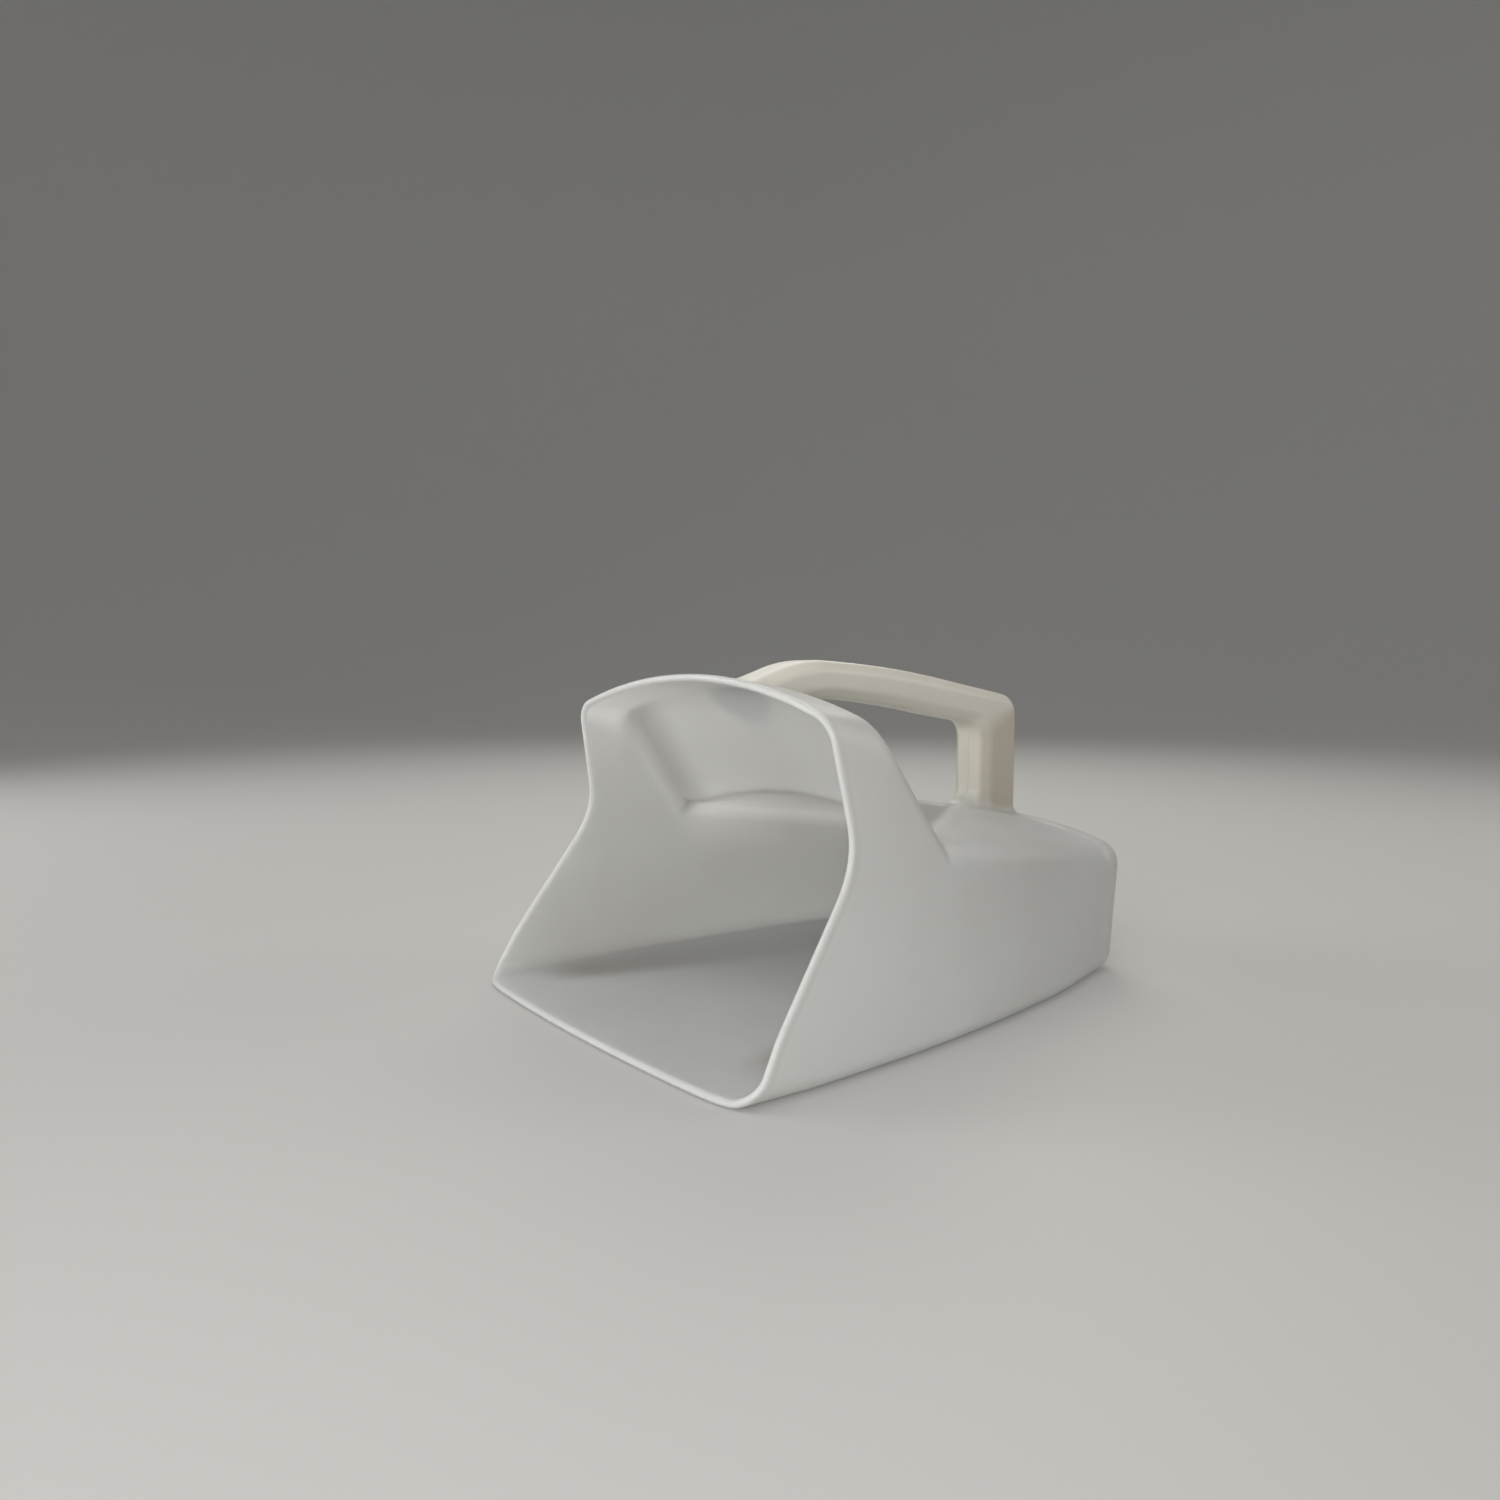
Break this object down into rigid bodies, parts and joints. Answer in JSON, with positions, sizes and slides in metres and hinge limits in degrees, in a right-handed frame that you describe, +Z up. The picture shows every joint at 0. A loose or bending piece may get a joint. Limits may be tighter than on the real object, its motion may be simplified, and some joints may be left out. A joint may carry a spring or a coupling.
{
  "type": "ice scoop",
  "caption": "Hooded plastic ice scoop with a wide flat-bottomed mouth cut back to a rounded hood, a tapering closed bowl behind it, and a loop handle over the roof.",
  "frame": {"origin": "on the resting plane, under the middle of the scoop's length and width", "axes": "+Z up from the resting plane, +Y from the mouth towards the closed back, +X to the right seen from in front of the mouth looking in"},
  "size_m": [0.161, 0.22, 0.122],
  "materials": {
    "bowl_plastic": "thin natural white polyethylene, slightly translucent, fine satin surface with soft broad highlights",
    "handle_plastic": "the same polyethylene, a little creamier and more opaque, satin"
  },
  "bodies": {
    "root": {"bowl": "bowl_plastic", "handle_right_shell": "handle_plastic", "handle_left_shell": "handle_plastic"}
  },
  "joints": []
}
